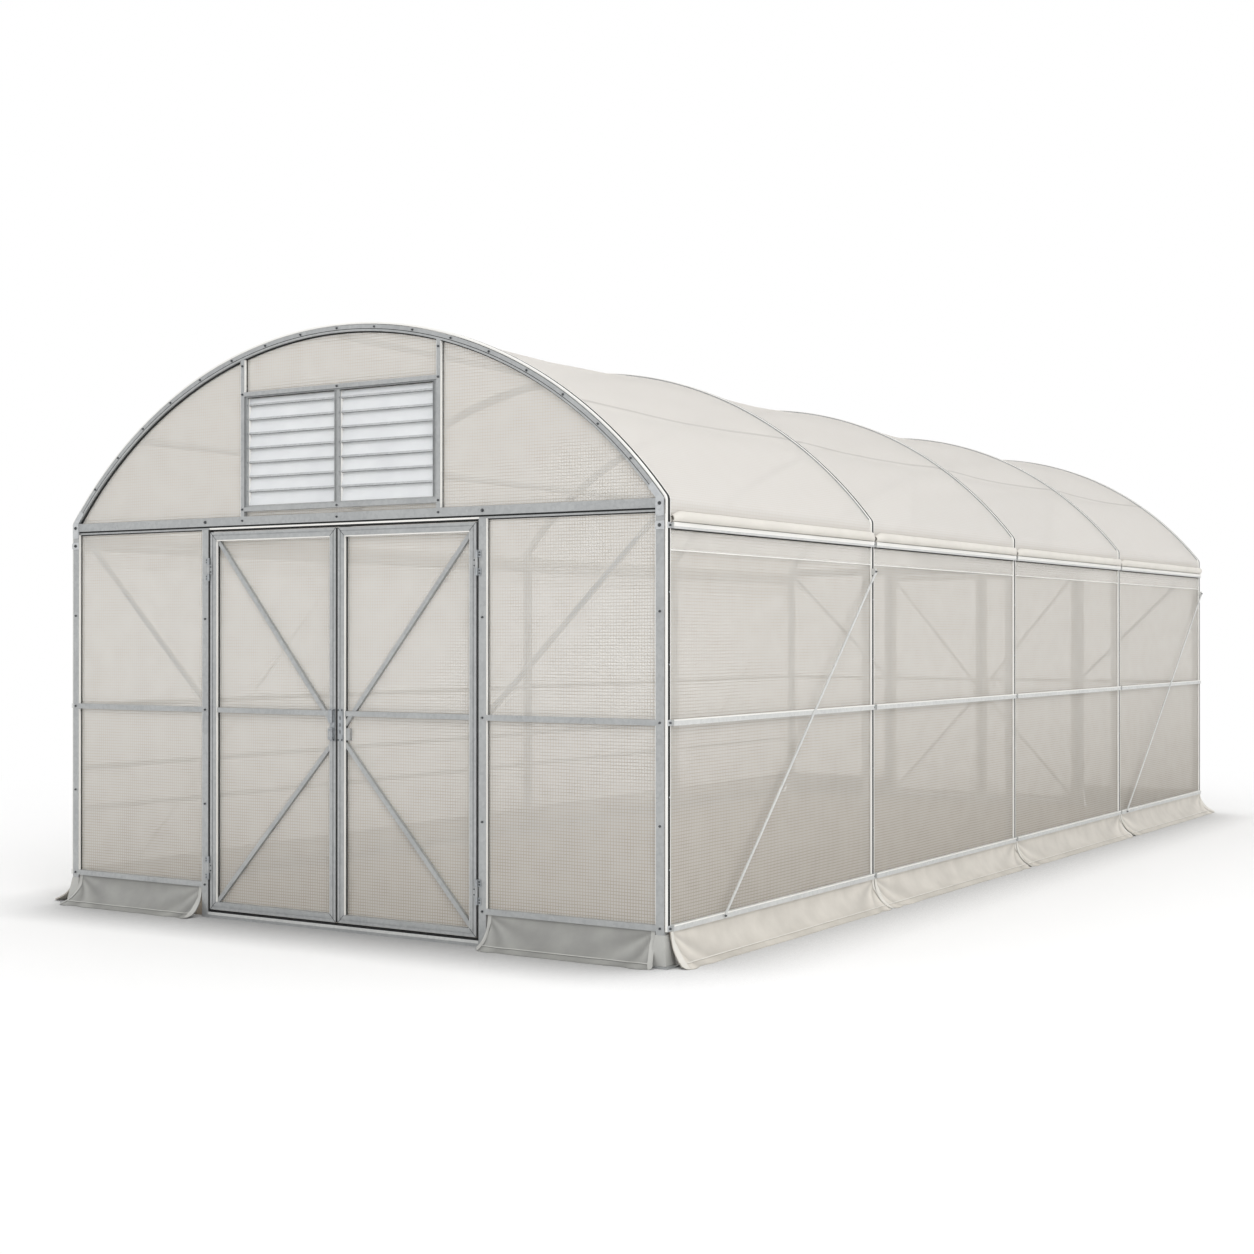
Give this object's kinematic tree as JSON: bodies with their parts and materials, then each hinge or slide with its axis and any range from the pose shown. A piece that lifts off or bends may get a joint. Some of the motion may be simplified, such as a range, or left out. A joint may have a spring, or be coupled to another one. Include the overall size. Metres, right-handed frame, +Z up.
{
  "type": "polytunnel greenhouse",
  "caption": "Film-clad polytunnel greenhouse with an arched steel tube frame, hinged double doors, louvred gable vents and skirts that flare out over the ground.",
  "frame": {"origin": "on the ground, in the middle of the floor", "axes": "+Y along the tunnel from the front end to the rear end, +X to the right seen from the front, +Z up"},
  "size_m": [3.8028, 8.2518, 2.8188],
  "materials": {
    "galvanised_steel": "galvanised, dull",
    "zinc_fittings": "zinc plated",
    "clamp_strip": "powder coated white",
    "louvre_plastic": "satin",
    "roof_film": "translucent woven film",
    "wall_film": "translucent woven film",
    "skirt_film": "satin film",
    "ground_fabric": "woven ground cover"
  },
  "bodies": {
    "frame": {"front_bow": "galvanised_steel", "bow_2": "galvanised_steel", "bow_3": "galvanised_steel", "bow_4": "galvanised_steel", "rear_bow": "galvanised_steel", "left_posts": "galvanised_steel", "right_posts": "galvanised_steel", "foot_plates": "galvanised_steel", "eave_joint_plates": "galvanised_steel", "purlins": "galvanised_steel", "left_wall_rails": "galvanised_steel", "right_wall_rails": "galvanised_steel", "left_inner_rails": "galvanised_steel", "wall_braces": "galvanised_steel", "front_lintel": "galvanised_steel", "rear_lintel": "galvanised_steel", "front_jambs": "galvanised_steel", "rear_jambs": "galvanised_steel", "thresholds": "galvanised_steel", "front_end_rails": "galvanised_steel", "rear_end_rails": "galvanised_steel", "end_braces": "galvanised_steel", "front_vent_frame": "galvanised_steel", "rear_vent_frame": "galvanised_steel", "front_vent_blades": "louvre_plastic", "rear_vent_blades": "louvre_plastic", "roof_film_1": "roof_film", "roof_film_2": "roof_film", "roof_film_3": "roof_film", "roof_film_4": "roof_film", "front_end_film": "wall_film", "rear_end_film": "wall_film", "left_wall_film": "wall_film", "right_wall_film": "wall_film", "left_skirt": "skirt_film", "right_skirt": "skirt_film", "front_skirt": "skirt_film", "rear_skirt": "skirt_film", "hoop_strips": "clamp_strip", "eave_rolls": "roof_film", "ground_sheet": "ground_fabric", "jamb_hinges": "zinc_fittings"},
    "front_left_leaf": {"front_left_door": "galvanised_steel", "front_left_door_film": "wall_film", "front_left_latch": "zinc_fittings"},
    "front_right_leaf": {"front_right_door": "galvanised_steel", "front_right_door_film": "wall_film", "front_right_latch": "zinc_fittings"},
    "rear_left_leaf": {"rear_left_door": "galvanised_steel", "rear_left_door_film": "wall_film", "rear_left_latch": "zinc_fittings"},
    "rear_right_leaf": {"rear_right_door": "galvanised_steel", "rear_right_door_film": "wall_film", "rear_right_latch": "zinc_fittings"}
  },
  "joints": [
    {"name": "front_left_hinge", "type": "hinge", "parent": "frame", "child": "front_left_leaf", "pos_m": [-0.811, -4.027, 0.965], "axis": [0, 0, -1], "range_deg": [0, 110]},
    {"name": "front_right_hinge", "type": "hinge", "parent": "frame", "child": "front_right_leaf", "pos_m": [0.811, -4.027, 0.965], "axis": [0, 0, 1], "range_deg": [0, 110]},
    {"name": "rear_left_hinge", "type": "hinge", "parent": "frame", "child": "rear_left_leaf", "pos_m": [-0.811, 4.027, 0.965], "axis": [0, 0, 1], "range_deg": [0, 110]},
    {"name": "rear_right_hinge", "type": "hinge", "parent": "frame", "child": "rear_right_leaf", "pos_m": [0.811, 4.027, 0.965], "axis": [0, 0, -1], "range_deg": [0, 110]}
  ]
}
